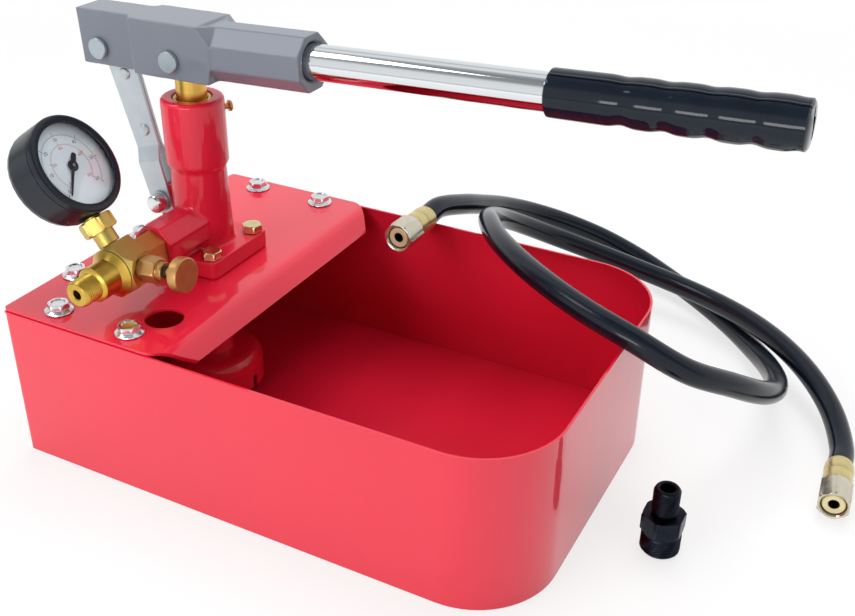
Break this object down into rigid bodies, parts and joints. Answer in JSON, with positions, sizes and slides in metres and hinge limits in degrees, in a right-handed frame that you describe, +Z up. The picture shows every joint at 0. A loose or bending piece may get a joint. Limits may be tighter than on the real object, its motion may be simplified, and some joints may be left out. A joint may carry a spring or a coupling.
{
  "type": "hand test pump",
  "caption": "Hand lever pressure test pump on an open sheet metal water tank, with a dial gauge, a valve block, a pressure hose and a loose adapter.",
  "frame": {"origin": "middle of the tank's underside, where it stands on the floor", "axes": "+Z up, +X along the tank towards its rounded end and the lever's grip, +Y away from the valve block's side"},
  "size_m": [0.5073, 0.4288, 0.2804],
  "materials": {
    "red_paint": "gloss",
    "grey_paint": "satin",
    "bright_zinc": "satin",
    "yellow_zinc": "satin",
    "brass": "polished",
    "cast_brass": "satin",
    "steel": "satin",
    "chrome": "mirror",
    "black_rubber": "satin",
    "black_paint": "gloss",
    "dial_card": "matt",
    "clear_glass": "clear"
  },
  "bodies": {
    "pump": {"tank_shell": "red_paint", "cover_plate": "red_paint", "pump_body": "red_paint", "suction_tube": "red_paint", "suction_strainer": "red_paint", "plate_bolt_1": "bright_zinc", "plate_bolt_2": "bright_zinc", "plate_bolt_3": "bright_zinc", "plate_bolt_4": "bright_zinc", "plate_bolt_5": "bright_zinc", "plate_bolt_6": "bright_zinc", "plate_bolt_7": "bright_zinc", "link_pin": "bright_zinc", "base_bolt_1": "yellow_zinc", "base_bolt_2": "yellow_zinc", "base_bolt_3": "yellow_zinc", "base_bolt_4": "yellow_zinc", "hose_tail_1": "yellow_zinc", "hose_tail_2": "yellow_zinc", "hose_ferrule_1": "yellow_zinc", "hose_ferrule_2": "yellow_zinc", "gland_nut": "brass", "bleed_screw": "brass", "outlet_nipple": "brass", "gauge_nut": "brass", "gauge_stem": "brass", "gauge_pressure_tube": "brass", "valve_block": "cast_brass", "release_body": "cast_brass", "gauge_movement": "cast_brass", "link_washer": "steel", "delivery_spring": "steel", "gland_packing": "black_rubber", "release_seal": "black_rubber", "hose_tube": "black_rubber", "gauge_case": "black_paint", "gauge_bezel": "black_paint", "gauge_dial": "dial_card", "gauge_lens": "clear_glass"},
    "link": {"link_strap_near": "steel", "link_strap_far": "steel", "link_rivet_lower": "steel", "link_rivet_upper": "steel"},
    "lever": {"lever_head": "grey_paint", "rear_pin": "bright_zinc", "front_pin": "bright_zinc", "handle_tube": "chrome", "handle_grip": "black_rubber"},
    "plunger": {"plunger_rod": "brass", "plunger_seal": "black_rubber"},
    "release": {"release_spindle": "brass", "release_knob": "brass"},
    "needle": {"gauge_needle": "black_paint"},
    "suction_ball": {"suction_ball": "steel"},
    "delivery_ball": {"delivery_ball": "steel"},
    "swivel_nut_1": {"hose_nut_1": "bright_zinc"},
    "swivel_nut_2": {"hose_nut_2": "bright_zinc"},
    "adapter": {"hose_adapter": "black_paint"}
  },
  "joints": [
    {"name": "link_hinge", "type": "hinge", "parent": "pump", "child": "link", "pos_m": [-0.1415, 0, 0.1418], "axis": [0, -1, 0], "range_deg": [-6.3, 0]},
    {"name": "lever_hinge", "type": "hinge", "parent": "link", "child": "lever", "pos_m": [-0.17178, 0, 0.2434], "axis": [0, -1, 0], "range_deg": [0, 43]},
    {"name": "plunger_slide", "type": "slide", "parent": "pump", "child": "plunger", "axis": [0, 0, 1], "range_m": [0, 0.0392]},
    {"name": "release_turn", "type": "hinge", "parent": "pump", "child": "release", "pos_m": [-0.112, -0.077, 0.1334], "axis": [0.9954, 0, 0.0958], "range_deg": [0, 360]},
    {"name": "needle_turn", "type": "hinge", "parent": "pump", "child": "needle", "pos_m": [-0.14285, -0.0782, 0.19295], "axis": [-0.8113, -0.0837, -0.5787], "range_deg": [0, 270]},
    {"name": "suction_ball_lift", "type": "slide", "parent": "pump", "child": "suction_ball", "axis": [0, 0, 1], "range_m": [0, 0.003]},
    {"name": "delivery_ball_lift", "type": "slide", "parent": "pump", "child": "delivery_ball", "axis": [0, -1, 0], "range_m": [0, 0.001]},
    {"name": "swivel_nut_1_turn", "type": "hinge", "parent": "pump", "child": "swivel_nut_1", "pos_m": [-0.0023, 0.069, 0.114], "axis": [0.02, 0.9995, -0.025], "continuous": true},
    {"name": "swivel_nut_2_turn", "type": "hinge", "parent": "pump", "child": "swivel_nut_2", "pos_m": [0.3096, 0.0563, 0.0112], "axis": [-0.09, 0.9957, 0.024], "continuous": true},
    {"name": "adapter_lift", "type": "slide", "parent": "pump", "child": "adapter", "axis": [0, 0, 1], "range_m": [0, 0.05]}
  ],
  "couplings": [
    {"joint": "link_hinge", "follows": "lever_hinge", "ratio": -0.143},
    {"joint": "plunger_slide", "follows": "lever_hinge", "m_per_rad": 0.0519}
  ]
}
